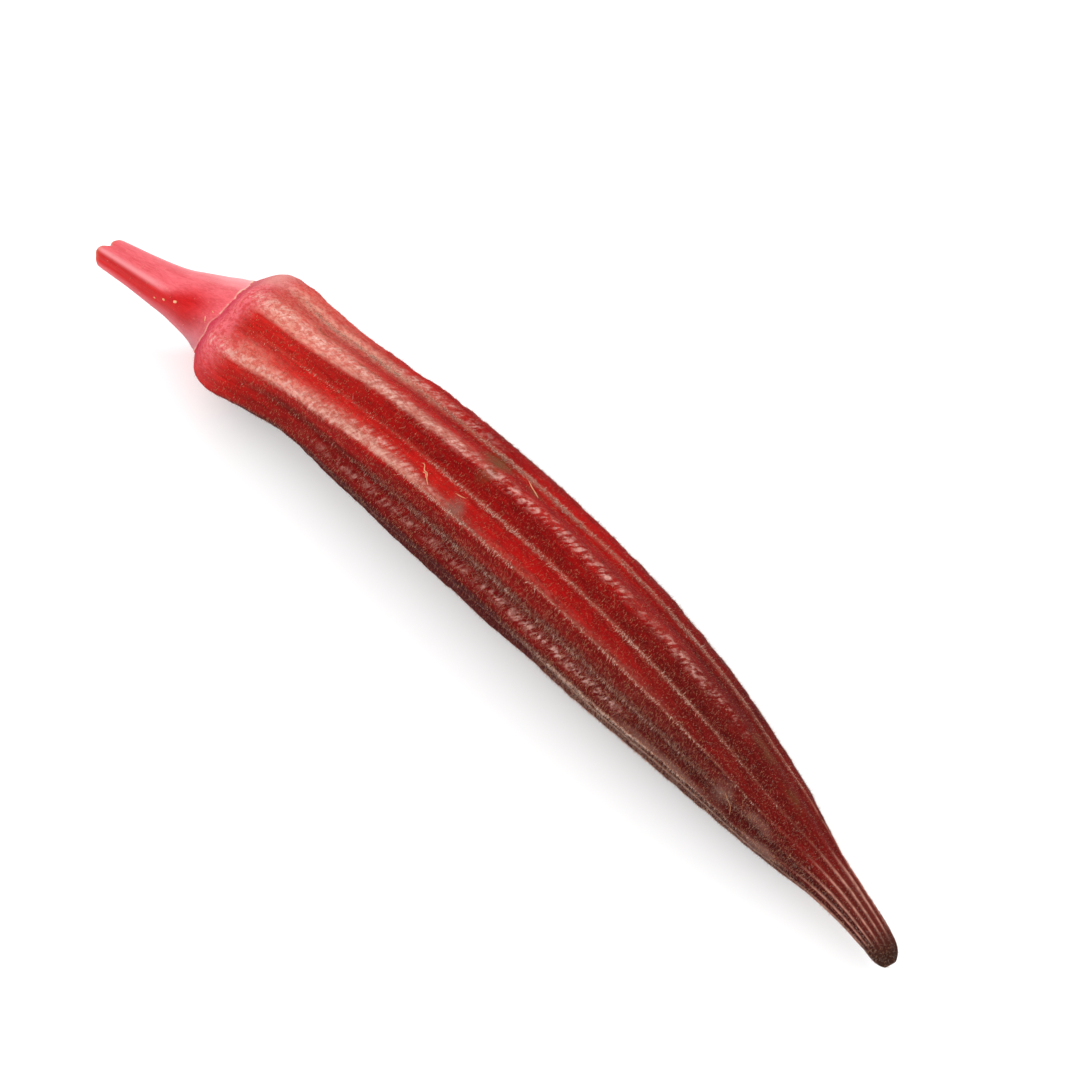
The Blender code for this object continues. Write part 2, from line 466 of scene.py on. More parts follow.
def ring_places():
    """Rings along the pod, crowded at the cut, the seam and the tip."""
    fine = np.linspace(0, LENGTH, 8001)
    spacing = np.full(len(fine), RING_SPACING)
    for closer, place, reach in RING_CROWDING:
        spacing -= closer * bell(fine - place, reach)
    count = np.concatenate([[0], np.cumsum(np.diff(fine) / spacing[1:])])
    rings = int(count[-1])
    return np.interp(np.linspace(0, count[-1], rings + 1)[:-1], count, fine)


def cut_face_rings(rim, centre):
    """Rings from the rim of the cut in to its middle: a raised bark edge and a sunken pith."""
    rings = []
    for share in CUT_SHARES:
        ring = centre + (rim - centre) * share
        fibres = CUT_FIBRE * lumps(ring, 0.35 * MM, 8)
        dip = BARK_STEP * ramp(1 - share, 0.05, 0.35) + PITH_STEP * ramp(1 - share, 0.6, 0.9)
        ring[:, 0] += dip + fibres
        rings.append(ring)
    return rings


def okra_skin():
    """One closed mesh: rings of the side, then the cut face, and the tip closed to a point."""
    turns = column_turns()
    places = ring_places()
    along, turn = np.meshgrid(places, turns, indexing="ij")
    side, straight = skin(along.ravel(), turn.ravel())
    side_rings = side.reshape(len(places), COLUMNS, 3)
    rim = side_rings[0]
    centre = rim.mean(axis=0)
    cut = cut_face_rings(rim, centre)
    cut_middle = centre + (CUT_MIDDLE_DEPTH, 0, 0)
    tip_middle = side_rings[-1].mean(axis=0) + (TIP_POINT, 0, 0)
    points = np.vstack([*cut[::-1], side, cut_middle, tip_middle])
    rings = len(cut) + len(places)
    mesh = bpy.data.meshes.new("okra_skin")
    mesh.from_pydata(points, [], tube_faces(rings, COLUMNS))

    cut_points = len(cut) * COLUMNS
    along_all = np.concatenate([np.zeros(cut_points), along.ravel(), [0, LENGTH]])
    turn_all = np.concatenate([np.tile(turns, len(cut)), turn.ravel(), [0, 0]])
    straight_cut = np.vstack([straight[:COLUMNS] * share for share in CUT_SHARES[::-1]])
    straight_all = np.vstack([straight_cut, straight, [[0, 0, 0], [LENGTH, 0, 0]]])
    add_attribute(mesh, "grown", straight_all / MM, "FLOAT_VECTOR")
    add_masks(mesh, along_all, turn_all)

    face_rings = np.arange((rings - 1) * COLUMNS) // COLUMNS
    face_along = np.concatenate([np.zeros(len(cut)), places])[face_rings]
    skins = np.where(face_along < CAP_EDGE, STALK_SLOT, POD_SLOT)
    materials = np.where(face_rings < len(cut), CUT_SLOT, skins)
    materials = np.concatenate([materials, np.full(COLUMNS, CUT_SLOT), np.full(COLUMNS, POD_SLOT)])
    mesh.polygons.foreach_set("material_index", materials.astype(np.int32))
    add_unwrapping(mesh, face_rings, rings)
    mesh.shade_smooth()
    mesh.update()
    pod = bpy.data.objects.new("okra_skin", mesh)
    bpy.context.scene.collection.objects.link(pod)
    return pod


def add_attribute(mesh, name, values, kind="FLOAT"):
    layer = mesh.attributes.new(name, kind, "POINT")
    key = "vector" if kind == "FLOAT_VECTOR" else "value"
    layer.data.foreach_set(key, np.asarray(values, np.float32).ravel())


def add_masks(mesh, along, turn):
    """Where each of the skin's colours and finishes shows, from 0 to 1, painted light and shade among them.
    """
    angle = rib_angle(along, turn)
    from_top = from_angle(angle, 0)
    masks = {
        "line": line_strength(along, turn),
        "seam": seam_share(along, angle),
        "pink": pink_and_highlight_share(along, turn),
        "wear_highlight": wear_highlight_share(along, turn),
        "lit_flank": lit_flank_share(along, turn),
        "shade": shade_share(along, turn),
        "shaded_red": shaded_red_share(along, from_top),
        "painted_sheen": painted_sheen_share(along, from_top),
        "stain": stains(along, turn, STAINS),
        "grey": stains(along, turn, GREY_PATCHES),
    }
    for name, values in masks.items():
        add_attribute(mesh, name, values)


def add_unwrapping(mesh, face_rings, rings):
    """Unrolls the skin flat: along the pod one way, round it the other."""
    column = np.arange(len(face_rings)) % COLUMNS
    corners_u = (1 + np.stack([face_rings, face_rings, face_rings + 1, face_rings + 1], axis=1)) / (rings + 1)
    corners_v = np.stack([column, column + 1, column + 1, column], axis=1) / COLUMNS
    quads_uv = np.stack([corners_u, corners_v], axis=2).reshape(-1, 2)
    here = np.arange(COLUMNS)
    fans = []
    for edge, tip, first, second in ((1, 0, here + 1, here), (rings, rings + 1, here, here + 1)):
        corners = [
            np.column_stack([np.full(COLUMNS, place / (rings + 1)), row / COLUMNS])
            for place, row in ((edge, first), (edge, second), (tip, here + 0.5))
        ]
        fans.append(np.stack(corners, axis=1).reshape(-1, 2))
    layer = mesh.uv_layers.new(name="OFBake")
    layer.data.foreach_set("uv", np.vstack([quads_uv, *fans]).astype(np.float32).ravel())


def pink_and_highlight_share(along, turn):
    """Pale pink on the shoulder, drawn out along the crests of ribs 3 and 4, the groove past them and the
    upper side: partly the skin's own pink, partly painted highlight.
    """
    shoulder = until(along, 24.5, 29.5) * ramp(turn, 1.8, 3.0) * (1 - ramp(turn, 5.4, 6.0))
    between = ramp(from_crest(turn), 0.25, 0.42) * past(along, 25, 28)
    off_rib_4 = turn - 4.06 + 0.06 * near(along, 57, 10)
    reach = 0.23 - 0.12 * past(along, 40, 54)
    rib_4 = np.where(off_rib_4 > 0, bell(off_rib_4, reach), ramp(off_rib_4, -reach - 0.01, -reach + 0.08))
    off_rib_3 = turn - 2.97 - 0.09 * past(along, 42, 56)
    above_it = 0.19 - 0.11 * past(along, 46, 66)
    rib_3 = np.where(off_rib_3 > 0, bell(off_rib_3, above_it), ramp(off_rib_3, -0.13, -0.05))
    above_rib_3 = 0.6 * bell(turn - 3.18, 0.18) * until(along, 30, 42)
    crests = np.maximum.reduce([rib_4, rib_3, above_rib_3])
    crests *= (1 - 0.92 * past(along, 58, 76)) * until(along, 108, 120)
    groove = 1.2 * bell(turn - 4.63, 0.12) * until(along, 44, 66)
    upper_side = 0.47 * bell(turn - 4.6, 0.5) * until(along, 34, 54)
    pale = np.maximum.reduce([crests, groove, upper_side])
    return np.clip(np.maximum(shoulder * (1 - 0.6 * between), pale), 0, 1)


def wear_highlight_share(along, turn):
    """Where the skin is rubbed pale and shines, partly real wear and partly a painted highlight: by the
    crests of ribs 5, 4 and 3, and a painted highlight on rib 2's flank.
    """
    off_rib_4 = turn - 4.08 + 0.05 * past(along, 48, 64) + 0.05 * near(along, 57, 9)
    rib_4 = bell(off_rib_4, 0.12 - 0.03 * past(along, 50, 70))
    rib_4 *= (1 - 0.6 * near(along, 102, 4)) * until(along, 118, 126)
    off_rib_3 = turn - 2.97 - 0.11 * past(along, 44, 56)
    above_it = 0.15 - 0.11 * past(along, 56, 70)
    rib_3 = bell(off_rib_3, np.where(off_rib_3 > 0, above_it, 0.09 - 0.05 * past(along, 56, 70)))
    rib_3 *= 1 + 0.9 * past(along, 36, 44) * until(along, 58, 66)
    rib_3 *= (1 - 0.88 * past(along, 62, 74)) * until(along, 112, 118)
    flank = bell(turn - 2.27, 0.068) * (0.5 * past(along, 42, 52) + 0.5 * past(along, 80, 88))
    flank *= until(along, 106, 112)
    rib_5 = 0.9 * bell(turn - 4.72, 0.07) * past(along, 44, 54) * until(along, 62, 72)
    body = np.maximum.reduce([rib_5, rib_4, rib_3, flank])
    return np.clip(body * past(along, 22, 25), 0, 1)


def lit_flank_share(along, turn):
    """The flank between rib 3 and the groove above it, which faces the light and keeps the shoulder's
    brighter red for longer: painted light.
    """
    return bell(turn - 3.28, 0.16) * past(along, 34, 46) * until(along, 68, 88)


def seam_share(along, angle):
    """The scar line where the cap meets the pod, boldest on the upper side."""
    bold = 0.55 + 0.45 * ramp(np.cos(angle - math.radians(35)), 0.2, 0.9)
    return bell(along - CAP_EDGE, 0.14 * MM) * bold


BROWN_GROOVE = 2.5  # ribs round


def shade_share(along, turn):
    """Painted shade: under ribs 4 and 3, on rib 2 and the lower side below it, in a thin band above rib 4 and
    along the far edge round the back; with the brown, thickly downy groove on one side, partly its own brown
    and partly painted shade.
    """
    past_shoulder = past(along, 26, 40)
    groove = 0.8 * bell(turn - BROWN_GROOVE, 0.20) * past_shoulder
    under_rib_4 = 0.26 * ramp(turn, 3.46, 3.54) * ramp(turn, 4.0, 3.85) * past(along, 36, 56)
    raised = 0.12 * past(along, 72, 84)
    under_rib_3 = 0.44 * ramp(turn - raised, 2.96, 2.82) * past(along, 28, 44)
    rib_2 = 0.22 * ramp(turn, 2.5, 2.3) * past(along, 32, 50)
    low = 0.70 * ramp(turn, 2.15, 1.9) * past(along, 21, 31)
    low += 0.42 * near(along, 34, 6.5) * ramp(turn, 2.42, 2.25)
    back = 0.8 * ramp(turn, 4.82, 5.08) * past(along, 40, 54)
    over_rib_4 = 0.12 * bell(turn - 4.42, 0.09) * past(along, 26, 30)
    return np.clip(np.maximum(groove, under_rib_3 + rib_2 + low) + under_rib_4 + over_rib_4 + back, 0, 1)


def shaded_red_share(along, angle):
    """The deeper red on the stalk's downward face, below a blunt ridge, widening over the cap: painted shade
    on the stalk, partly the cap's own deeper red.
    """
    top = np.radians(-31 + 30 * past(along, 11, 17))
    foot = np.radians(-82 + 10 * past(along, 8, 15))
    soft = 0.07 + 0.30 * past(along, 10, 15)
    face = ramp(angle, top + soft, top - soft) * ramp(angle, foot - 0.3, foot + 0.3)
    return face * until(along, 15.5, 21.5)


def painted_sheen_share(along, angle):
    """Painted sheen on the stalk and cap: a painted highlight on the ridge beside the deeper red, and paler
    towards both sides, where the light grazes.
    """
    near_seam = past(along, 15, 20)
    degrees = np.degrees(angle)
    upper = (0.35 + 0.6 * near_seam) * ramp(degrees, 18, 50) * (1 - ramp(degrees, 74, 110))
    lower = 0.30 * ramp(degrees, -66, -90) + 0.5 * near_seam * ramp(degrees, -48, -80)
    lower *= 1 - ramp(degrees, -96, -130)
    ridge = bell(degrees + 25, 8) * until(along, 9, 14)
    return np.clip(np.maximum(ridge, upper + lower), 0, 1)


# Weathered patches: distance along (mm), ribs round, half-length (mm), half-width (ribs), strength.
STAINS = (
    (39.0, 4.28, 3.2, 0.07, 0.6),
    (46.0, 4.17, 9.0, 0.05, 0.5),
    (71.3, 4.34, 3.0, 0.26, 1.0),
    (72.3, 3.95, 1.8, 0.30, 0.55),
    (78.5, 4.35, 2.0, 0.14, 0.6),
    (126.5, 4.30, 5.0, 0.32, 0.55),
    (134.0, 4.10, 4.0, 0.26, 0.5),
)
GREY_PATCHES = (
    (72.3, 3.12, 1.8, 0.24, 0.9),
    (75.0, 3.00, 5.0, 0.06, 0.7),
    (127.0, 2.60, 2.0, 0.45, 0.8),
    (133.5, 2.70, 3.5, 0.26, 0.8),
    (118.0, 2.14, 11.0, 0.10, 0.9),
    (136.3, 2.05, 4.0, 0.22, 1.2),
)


def stains(along, turn, patches):
    total = np.zeros(len(along))
    for place, rib, length, width, strength in patches:
        spot = near(along, place, length) * bell(turn - rib, width)
        total = np.maximum(total, strength * spot)
    return total


# ------------ down

LEAST_HEIGHT = 0.04 * MM  # hairs stay above the surface that the pod lies on
ROOT_DEPTH = 0.03 * MM  # how deep a hair starts in the skin
LOOK_STEP = 0.2 * MM  # how far apart the skin is looked at, to find how it lies
HAIR_LEAN = 0.25  # towards the tip, in radians, with its spread
HAIR_LEAN_SPREAD = 0.35
HAIR_TURNED_BACK = -0.2  # one hair in six lies the other way
HAIR_CURL = 0.15
HAIR_DROOP = 0.25


def skin_directions(along, turn):
    """Unit vectors on the skin at each place: ahead along the pod, across it, and out of it."""
    step = LOOK_STEP
    radius, _ = outline_at(along)
    turn_step = step / np.maximum(radius, 1 * MM) * RIB_COUNT / (2 * np.pi)
    ahead = unit(skin(along + step, turn)[0] - skin(along - step, turn)[0])
    across = unit(skin(along, turn + turn_step)[0] - skin(along, turn - turn_step)[0])
    return ahead, across, unit(np.cross(ahead, across))


def hair_roots(count, draw, weight):
    """Random places on the skin, spread evenly by area and thinned by weight(along, turn)."""
    chosen_along = []
    chosen_turn = []
    found = 0
    largest = OUTLINE[:, 1].max()
    while found < count:
        along = draw.uniform(0, LENGTH, 4 * count)
        turn = draw.uniform(0, RIB_COUNT, 4 * count)
        radius, _ = outline_at(along)
        keep = draw.uniform(0, 1, 4 * count) < radius / largest * weight(along, turn)
        chosen_along.append(along[keep])
        chosen_turn.append(turn[keep])
        found += keep.sum()
    return np.concatenate(chosen_along)[:count], np.concatenate(chosen_turn)[:count]


def short_down_weight(along, turn):
    """Short down: none on the stalk, sparse on the shoulder and the worn crests, even elsewhere."""
    cover = 0.003 + 0.40 * past(along, 22, 36) + 0.25 * past(along, 60, 120)
    rubbed = 1 - 0.6 * bell(from_crest(turn), 0.13)
    rubbed *= 1 - 0.5 * ramp(turn, 2.9, 2.7) * ramp(turn, 0.9, 1.1) * until(along, 84, 104)
    end = 1 - 0.9 * past(along, 144, 154)
    return cover * rubbed * end


def gold_down_weight(along, turn):
    """Pale gold hairs, thicker towards the tip."""
    cover = 0.006 + 0.16 * past(along, 22, 34) + 0.08 * past(along, 60, 120)
    low = 1 - 0.85 * ramp(turn, 2.1, 1.9) * until(along, 90, 104)
    low *= 1 - 0.4 * ramp(turn, 2.9, 3.1)
    low *= 1 - 0.5 * bell(turn - 2.6, 0.25) * until(along, 50, 66)
    return cover * low * (1 - 0.7 * past(along, 138, 148))


def line_down_weight(along, turn):
    """Tufts along the raised lines of the grooves and crests."""
    tufts = 0.4 + 0.6 * ramp(np.sin(along / (1.9 * MM) + 3 * turn) + np.sin(along / (5.3 * MM)), -0.6, 0.8)
    end = until(along, 130, 140)
    return line_strength(along, turn) ** 1.5 * past(along, 24, 36) * tufts * end


def dull_down_weight(along, turn):
    """Grey-brown down over the tip's third, down the brown groove and low on the lower side before it."""
    groove = 0.30 * bell(turn - BROWN_GROOVE, 0.16) * past(along, 48, 76)
    low = 0.32 * ramp(turn, 2.15, 1.95) * (0.06 + 0.94 * past(along, 86, 104))
    back = 0.3 * ramp(turn, 4.8, 5.1) * past(along, 50, 80)
    tip = 0.09 * past(along, 104, 130) + 0.1 * past(along, 146, 156)
    return groove + (low + back) * (1 - 0.6 * past(along, 138, 148)) + tip


def mesh_piece(name, points, faces, grown, material):
    """A mesh object that rides with the pod. Grown is where each point's colour is looked up, in mm."""
    mesh = bpy.data.meshes.new(name)
    mesh.from_pydata(points, [], faces)
    mesh.shade_smooth()
    mesh.materials.append(material)
    add_attribute(mesh, "grown", grown, "FLOAT_VECTOR")
    piece = bpy.data.objects.new(name, mesh)
    bpy.context.scene.collection.objects.link(piece)
    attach(piece, "root")
    return piece


def straight_hairs(root, rise, bend, ring, size, half):
    """Each hair as a closed spike, with the place of each of its points on a small flat cell."""
    points = np.concatenate([root[:, None] + ring * half, (root + (rise + bend) / 2 * size)[:, None]], axis=1)
    faces = np.array([(0, 2, 1), (0, 1, 3), (1, 2, 3), (2, 0, 3)])
    return points, faces, np.array([(0, 0), (1, 0), (0.5, 0.25), (0.5, 1)])


def bent_hairs(root, rise, bend, ring, size, half):
    """Each hair as a closed spike with one bend, with the same cell."""
    middle = root + rise * size * 0.5
    tip = middle + bend * size * 0.5
    waist = middle[:, None] + ring * half * 0.75
    points = np.concatenate([root[:, None] + ring * half, waist, tip[:, None]], axis=1)
    faces = np.array([
        (0, 2, 1),
        (0, 1, 4), (0, 4, 3), (1, 2, 5), (1, 5, 4), (2, 0, 3), (2, 3, 5),
        (3, 4, 6), (4, 5, 6), (5, 3, 6),
    ])
    return points, faces, np.array([(0, 0), (1, 0), (0.5, 0.2), (0.1, 0.5), (0.9, 0.5), (0.5, 0.7), (0.5, 1)])


def add_hair_cells(mesh, count, faces, cell):
    """Lays the hairs flat side by side, each in its own cell, root to tip up the cell."""
    columns = math.ceil(math.sqrt(count))
    hair = np.arange(count)
    corner = np.stack([hair % columns, hair // columns], axis=1)[:, None] + 0.1 + 0.8 * cell
    corner = corner.reshape(-1, 2) / columns
    layer = mesh.uv_layers.new(name="OFBake")
    layer.data.foreach_set("uv", corner[faces.ravel()].astype(np.float32).ravel())


def hairs(name, count, seed, weight, shape, length, thickness, stand, material):
    """A piece of down. Stand is how steeply the hairs rise from the skin."""
    draw = np.random.default_rng(seed)
    along, turn = hair_roots(count, draw, weight)
    root, straight = skin(along, turn, -ROOT_DEPTH)
    ahead, across, out = skin_directions(along, turn)
    heading = draw.normal(HAIR_LEAN, HAIR_LEAN_SPREAD, count)[:, None]
    up_or_down = np.sign(draw.uniform(HAIR_TURNED_BACK, 1, count))[:, None]
    lying = ahead * np.sin(heading) - across * np.cos(heading) * up_or_down
    rise = unit(out * stand * draw.uniform(0.5, 1.4, count)[:, None] + lying)
    bend = unit(rise + draw.normal(0, HAIR_CURL, (count, 3)) - out * HAIR_DROOP * stand)
    side = unit(np.cross(rise, out + 0.3 * ahead))
    other = np.cross(rise, side)
    corners = 2 * math.pi * np.arange(3) / 3
    ring = np.stack([side * math.cos(angle) + other * math.sin(angle) for angle in corners], axis=1)
    size = (length * draw.lognormal(0, 0.3, count) * (1 - 0.3 * past(along, 100, 130)))[:, None]
    half = thickness / 2 * draw.uniform(0.75, 1.2, count)[:, None, None]
    points, faces, cell = shape(root, rise, bend, ring, size, half)
    free = points[:, 3:]
    free[:, :, 2] = np.maximum(free[:, :, 2], LEAST_HEIGHT)
    each = points.shape[1]
    all_faces = (faces[None] + each * np.arange(count)[:, None, None]).reshape(-1, 3)
    grown = np.repeat(straight / MM, each, axis=0)
    piece = mesh_piece(name, points.reshape(-1, 3), all_faces.tolist(), grown, material)
    add_attribute(piece.data, "outward", np.tile(cell[:, 1], count))
    add_hair_cells(piece.data, count, all_faces, cell)


# Name, count, seed, where they grow, form, length and thickness in mm, how steeply they stand, and finish.
DOWN = (
    ("short_down_1", 40000, 101, short_down_weight, straight_hairs, 0.34, 0.040, 0.6, "red_down"),
    ("short_down_2", 40000, 102, short_down_weight, straight_hairs, 0.34, 0.040, 0.6, "red_down"),
    ("gold_down", 34000, 103, gold_down_weight, straight_hairs, 0.40, 0.040, 0.9, "gold_down"),
    ("line_down", 14000, 104, line_down_weight, bent_hairs, 0.42, 0.050, 1.0, "line_down"),
    ("dull_down", 42000, 105, dull_down_weight, straight_hairs, 0.48, 0.042, 1.2, "dull_down"),
)
DOWN_COLOURS = {  # at the root and at the tip
    "red_down": ("842A1C", "A85038"),
    "gold_down": ("B07854", "D4A07C"),
    "line_down": ("D0A48C", "EACCBA"),
    "dull_down": ("826456", "AA9084"),
}

# ------------ small raised marks

MARK_SIDES = 8


def mark(name, path, width, height, material):
    """A corky mark that stands on the skin along a path of (mm along, ribs round), as a flattened cord."""
    path = np.array(path)
    steps = max(12, 6 * len(path))
    smooth = smooth_curve(path, steps)
    along = smooth[:, 0] * MM
    turn = smooth[:, 1]
    centre, straight = skin(along, turn)
    _, _, out = skin_directions(along, turn)
    heading = unit(np.gradient(centre, axis=0))
    side = unit(np.cross(heading, out))
    share = np.linspace(-1, 1, len(centre))
    taper = np.sqrt(np.clip(1 - share**4, 0.02, 1)) * (1 + 0.35 * lumps(straight, 0.5 * MM, 20))
    angle = 2 * np.pi * np.arange(MARK_SIDES) / MARK_SIDES
    around = (np.cos(angle)[None, :, None] * side[:, None] * width / 2
              + np.sin(angle)[None, :, None] * out[:, None] * height)
    rings = centre[:, None] + around * taper[:, None, None]
    points = np.vstack([rings.reshape(-1, 3), centre[:1], centre[-1:]])
    mesh_piece(name, points, tube_faces(len(centre), MARK_SIDES), points / MM, material)


# Golden cork: name, width and height in mm, and the path in mm along and ribs round.
CORK_MARKS = (
    ("cork_squiggle", 0.13, 0.10,
     ((63.8, 3.37), (64.3, 3.36), (64.9, 3.28), (65.5, 3.27), (66.2, 3.18), (67.0, 3.12))),
    ("cork_branch", 0.12, 0.07, ((64.9, 3.24), (65.4, 3.25), (65.9, 3.19))),
    ("cork_scratch_1", 0.12, 0.06, ((70.6, 3.32), (71.6, 3.34), (72.3, 3.37))),
    ("cork_scratch_2", 0.20, 0.07, ((76.0, 4.56), (77.2, 4.48), (78.4, 4.38), (79.4, 4.30))),
    ("stalk_speck_1", 0.36, 0.09, ((12.2, 2.83), (12.6, 2.85))),
    ("stalk_speck_2", 0.32, 0.08, ((13.9, 3.02), (14.4, 3.08))),
    ("stalk_speck_3", 0.22, 0.05, ((10.6, 2.60), (11.0, 2.60))),
    ("cap_fleck_1", 0.14, 0.05, ((19.3, 3.20), (19.9, 3.06))),
    ("cap_fleck_2", 0.12, 0.04, ((19.6, 3.45), (20.0, 3.40))),
    ("fallen_hair", 0.07, 0.05, ((127.2, 2.62), (128.0, 2.52), (129.2, 2.40), (130.0, 2.22))),
)


# ------------ finishes


class Nodes:
    """Short ways to add nodes to a tree and join them."""

    def __init__(self, tree):
        self.tree = tree

    def add(self, kind, inputs=None, **settings):
        node = self.tree.nodes.new(kind)
        for name, value in settings.items():
            setattr(node, name, value)
        for name, value in (inputs or {}).items():
            self.give(node.inputs[name], value)
        return node

    def give(self, socket, value):
        """Links an output to this socket, or sets its own value. A colour may be its sRGB hex code."""
        if isinstance(value, bpy.types.NodeSocket):
            self.tree.links.new(value, socket)
        elif isinstance(value, str):
            socket.default_value = colour(value)
        else:
            socket.default_value = value

    def joined(self, output, end):
        """Joins output to end, the last link of a group, and gives the group."""
        self.tree.links.new(output, end)
        return self.tree

    def placed(self, group, **inputs):
        """What a group of nodes puts out here. A name's underlines stand for spaces."""
        named = {name.replace("_", " "): value for name, value in inputs.items()}
        return self.add("ShaderNodeGroup", named, node_tree=group).outputs[0]

    def share(self, name):
        """The number from 0 to 1 that the mesh holds under this name."""
        return self.add("ShaderNodeAttribute", attribute_name=name).outputs["Fac"]

    def grown(self):
        """The place on the straight, unbent pod, in mm: along it, up and towards +Y."""
        return self.add("ShaderNodeAttribute", attribute_name="grown").outputs["Vector"]

    def part(self, vector, axis):
        return self.add("ShaderNodeSeparateXYZ", {0: vector}).outputs[axis]

    def maths(self, operation, *values, clamp=False):
        node = self.add("ShaderNodeMath", dict(enumerate(values)), operation=operation, use_clamp=clamp)
        return node.outputs[0]

    def times(self, first, second):
        return self.maths("MULTIPLY", first, second)

    def scaled(self, value, low, high):
        """Evenly from low to high as value goes from 0 to 1."""
        return self.maths("MULTIPLY_ADD", value, high - low, low)

    def between(self, value, start, end, low=0.0, high=1.0):
        """Smoothly from low to high as value goes from start to end."""
        inputs = {"Value": value, "From Min": start, "From Max": end, "To Min": low, "To Max": high}
        return self.add("ShaderNodeMapRange", inputs, interpolation_type="SMOOTHSTEP").outputs[0]

    def mix(self, share, first, second):
        """One colour over another, by a share from 0 to 1."""
        return self.add("ShaderNodeMix", {0: share, 6: first, 7: second}, data_type="RGBA").outputs[2]

    def blend(self, share, first, second):
        """One number and another, by a share from 0 to 1."""
        return self.add("ShaderNodeMix", {0: share, 2: first, 3: second}, data_type="FLOAT").outputs[0]

    def noise(self, vector, scale, detail=2.0, roughness=0.5):
        inputs = {"Vector": vector, "Scale": scale, "Detail": detail, "Roughness": roughness}
        return self.add("ShaderNodeTexNoise", inputs).outputs["Fac"]

    def stretched(self, vector, size):
        return self.add("ShaderNodeVectorMath", {0: vector, 1: size}, operation="MULTIPLY").outputs[0]


def colour(hex_code):
    """A linear colour from its sRGB hex code."""
    channels = [int(hex_code[i:i + 2], 16) / 255 for i in (0, 2, 4)]
    linear = [c / 12.92 if c <= 0.04045 else ((c + 0.055) / 1.055) ** 2.4 for c in channels]
    return (*linear, 1.0)


NUMBER = "NodeSocketFloat"
VECTOR = "NodeSocketVector"
COLOUR = "NodeSocketColor"


def new_group(name, inputs, output, kind):
    """A shader node group to fill in: its nodes, its inputs by name, and a way to join its one output."""
    group = bpy.data.node_groups.new(name, "ShaderNodeTree")
    for socket, input_kind, value in inputs:
        made = group.interface.new_socket(socket, in_out="INPUT", socket_type=input_kind)
        if value is not None:
            made.default_value = value
    group.interface.new_socket(output, in_out="OUTPUT", socket_type=kind)
    nodes = Nodes(group)
    return nodes, nodes.add("NodeGroupInput").outputs, nodes.add("NodeGroupOutput").inputs[output]


def mottle_group():
    """Soft uneven colour: large clouds with finer specks in them."""
    nodes, given, result = new_group("mottle", (
        ("Vector", VECTOR, None),
        ("Cloud Scale", NUMBER, 0.15),
        ("Speck Scale", NUMBER, 1.5),
        ("Speck Share", NUMBER, 0.3),
    ), "Fac", NUMBER)
    cloud = nodes.noise(given["Vector"], given["Cloud Scale"], 3.0, 0.55)
    speck = nodes.noise(given["Vector"], given["Speck Scale"], 3.0, 0.6)
    both = nodes.blend(given["Speck Share"], cloud, speck)
    return nodes.joined(nodes.between(both, 0.3, 0.7), result)


def skin_grain_group():
    """Height of the skin's fine grain: cells, pores, and creases that run across the ribs."""
    nodes, given, result = new_group("skin_grain", (
        ("Vector", VECTOR, None),
        ("Cell Scale", NUMBER, 3.0),
        ("Crease Share", NUMBER, 0.5),
    ), "Height", NUMBER)
    scaled = {"Vector": given["Vector"], "Scale": given["Cell Scale"]}
    cells = nodes.add("ShaderNodeTexVoronoi", scaled, feature="SMOOTH_F1").outputs["Distance"]
    creases = nodes.noise(nodes.stretched(given["Vector"], (2.2, 0.5, 0.5)), 0.9, 4.0, 0.65)
    return nodes.joined(nodes.blend(given["Crease Share"], cells, creases), result)


def cap_scar_group():
    """The thin, broken cream scar where the cap meets the pod, over the skin's own colour."""
    nodes, given, result = new_group("cap_scar", (
        ("Skin Color", COLOUR, None),
        ("Vector", VECTOR, None),
        ("Seam", NUMBER, 0.0),
        ("Break Scale", NUMBER, 0.8),
    ), "Color", COLOUR)
    broken = nodes.between(nodes.noise(given["Vector"], given["Break Scale"], 3.0, 0.6), 0.36, 0.56)
    share = nodes.times(given["Seam"], broken)
    return nodes.joined(nodes.mix(share, given["Skin Color"], "CF9C84"), result)


def new_material(name, roughness, **sockets):
    material = bpy.data.materials.new(name)
    material.use_nodes = True
    nodes = Nodes(material.node_tree)
    shader = material.node_tree.nodes["Principled BSDF"]
    shader.inputs["Roughness"].default_value = roughness
    for socket, value in sockets.items():
        shader.inputs[socket.replace("_", " ")].default_value = value
    return material, nodes, shader


def connect(nodes, output, shader, socket):
    nodes.tree.links.new(output, shader.inputs[socket])


def along_mask(nodes, start, end):
    """0 before start and 1 after end, in mm from the cut."""
    return nodes.between(nodes.part(nodes.grown(), "X"), start, end)


def scarred(nodes, cap_scar, grown, under):
    return nodes.placed(cap_scar, Skin_Color=under, Vector=grown, Seam=nodes.share("seam"))


def grain_on(nodes, shader, grain, cell_scale, crease_share, strength, depth):
    """Raises the skin's fine grain on the surface, this deep."""
    height = nodes.placed(grain, Vector=nodes.grown(), Cell_Scale=cell_scale, Crease_Share=crease_share)
    bump = nodes.add("ShaderNodeBump", {"Height": height, "Strength": strength, "Distance": depth})
    connect(nodes, bump.outputs["Normal"], shader, "Normal")


def wear_highlight_streaks(nodes, grown):
    """Broken slanting streaks across the ribs, where the skin is rubbed pale and a highlight is painted."""
    parts = nodes.add("ShaderNodeSeparateXYZ", {0: grown}).outputs
    slant = nodes.maths("SUBTRACT", parts["X"], nodes.times(parts["Z"], 0.6))
    skewed = nodes.add("ShaderNodeCombineXYZ", {
        0: nodes.times(slant, 1.7),
        1: nodes.times(parts["Y"], 0.7),
        2: nodes.times(parts["Z"], 0.7),
    })
    return nodes.between(nodes.noise(skewed.outputs[0], 0.9, 4.0, 0.65), 0.44, 0.59)


